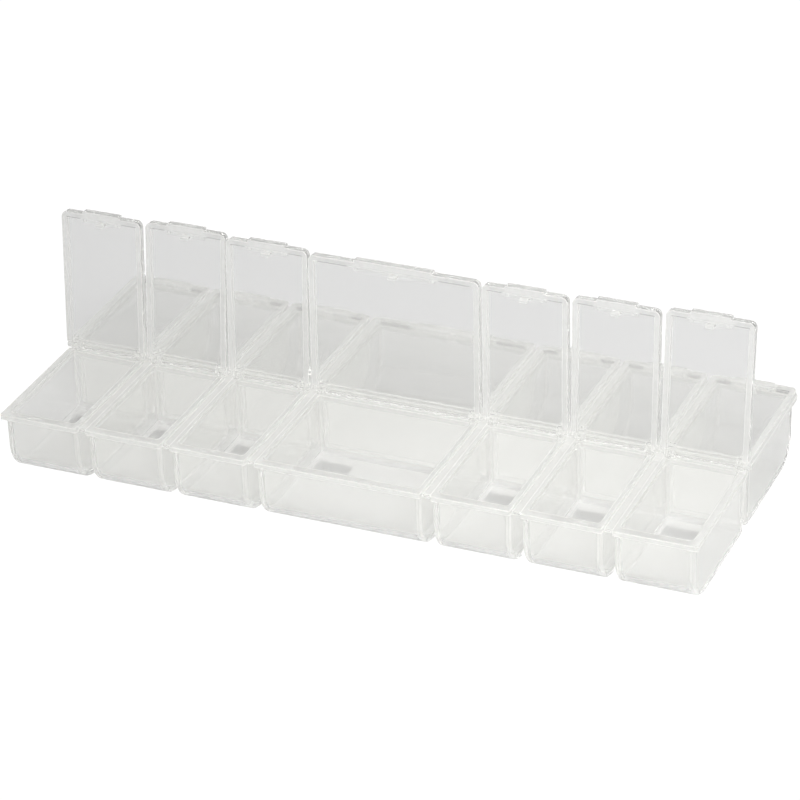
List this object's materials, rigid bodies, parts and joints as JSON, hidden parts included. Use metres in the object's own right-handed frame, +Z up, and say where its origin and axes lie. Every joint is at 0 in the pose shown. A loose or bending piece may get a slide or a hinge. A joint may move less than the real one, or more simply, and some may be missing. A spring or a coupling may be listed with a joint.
{
  "type": "pill organizer",
  "caption": "Flat clear travel pill organizer: two rows of scooped tubs with snap-shut flip lids, a double-width tub in the middle of each row, hinged along the centre.",
  "frame": {"origin": "centre of the tray's underside, on the table", "axes": "+X along the length of the rows, +Y from the front row to the rear row, +Z up"},
  "size_m": [0.207, 0.088, 0.0641],
  "materials": {
    "clear_tray": "clear, faintly frosted",
    "clear_lid": "clear, glossy"
  },
  "bodies": {
    "tray": {"tray": "clear_tray"},
    "front_lid_1": {"front_lid_1": "clear_lid"},
    "front_lid_2": {"front_lid_2": "clear_lid"},
    "front_lid_3": {"front_lid_3": "clear_lid"},
    "front_lid_4": {"front_lid_4": "clear_lid"},
    "front_lid_5": {"front_lid_5": "clear_lid"},
    "front_lid_6": {"front_lid_6": "clear_lid"},
    "front_lid_7": {"front_lid_7": "clear_lid"},
    "rear_lid_1": {"rear_lid_1": "clear_lid"},
    "rear_lid_2": {"rear_lid_2": "clear_lid"},
    "rear_lid_3": {"rear_lid_3": "clear_lid"},
    "rear_lid_4": {"rear_lid_4": "clear_lid"},
    "rear_lid_5": {"rear_lid_5": "clear_lid"},
    "rear_lid_6": {"rear_lid_6": "clear_lid"},
    "rear_lid_7": {"rear_lid_7": "clear_lid"}
  },
  "joints": [
    {"name": "front_lid_1_hinge", "type": "hinge", "parent": "tray", "child": "front_lid_1", "pos_m": [-0.091, -0.0012, 0.0213], "axis": [-1, 0, 0], "range_deg": [-94, 4]},
    {"name": "front_lid_2_hinge", "type": "hinge", "parent": "tray", "child": "front_lid_2", "pos_m": [-0.065, -0.0012, 0.0213], "axis": [-1, 0, 0], "range_deg": [-96, 2]},
    {"name": "front_lid_3_hinge", "type": "hinge", "parent": "tray", "child": "front_lid_3", "pos_m": [-0.039, -0.0012, 0.0213], "axis": [-1, 0, 0], "range_deg": [-93.5, 4.5]},
    {"name": "front_lid_4_hinge", "type": "hinge", "parent": "tray", "child": "front_lid_4", "pos_m": [0, -0.0012, 0.0213], "axis": [-1, 0, 0], "range_deg": [-91.5, 6.5]},
    {"name": "front_lid_5_hinge", "type": "hinge", "parent": "tray", "child": "front_lid_5", "pos_m": [0.039, -0.0012, 0.0213], "axis": [-1, 0, 0], "range_deg": [-91, 7]},
    {"name": "front_lid_6_hinge", "type": "hinge", "parent": "tray", "child": "front_lid_6", "pos_m": [0.065, -0.0012, 0.0213], "axis": [-1, 0, 0], "range_deg": [-92.5, 5.5]},
    {"name": "front_lid_7_hinge", "type": "hinge", "parent": "tray", "child": "front_lid_7", "pos_m": [0.091, -0.0012, 0.0213], "axis": [-1, 0, 0], "range_deg": [-95.5, 2.5]},
    {"name": "rear_lid_1_hinge", "type": "hinge", "parent": "tray", "child": "rear_lid_1", "pos_m": [-0.091, 0.0012, 0.0213], "axis": [1, 0, 0], "range_deg": [0, 81]},
    {"name": "rear_lid_2_hinge", "type": "hinge", "parent": "tray", "child": "rear_lid_2", "pos_m": [-0.065, 0.0012, 0.0213], "axis": [1, 0, 0], "range_deg": [0, 81]},
    {"name": "rear_lid_3_hinge", "type": "hinge", "parent": "tray", "child": "rear_lid_3", "pos_m": [-0.039, 0.0012, 0.0213], "axis": [1, 0, 0], "range_deg": [0, 81]},
    {"name": "rear_lid_4_hinge", "type": "hinge", "parent": "tray", "child": "rear_lid_4", "pos_m": [0, 0.0012, 0.0213], "axis": [1, 0, 0], "range_deg": [0, 81]},
    {"name": "rear_lid_5_hinge", "type": "hinge", "parent": "tray", "child": "rear_lid_5", "pos_m": [0.039, 0.0012, 0.0213], "axis": [1, 0, 0], "range_deg": [0, 81]},
    {"name": "rear_lid_6_hinge", "type": "hinge", "parent": "tray", "child": "rear_lid_6", "pos_m": [0.065, 0.0012, 0.0213], "axis": [1, 0, 0], "range_deg": [0, 81]},
    {"name": "rear_lid_7_hinge", "type": "hinge", "parent": "tray", "child": "rear_lid_7", "pos_m": [0.091, 0.0012, 0.0213], "axis": [1, 0, 0], "range_deg": [0, 81]}
  ]
}
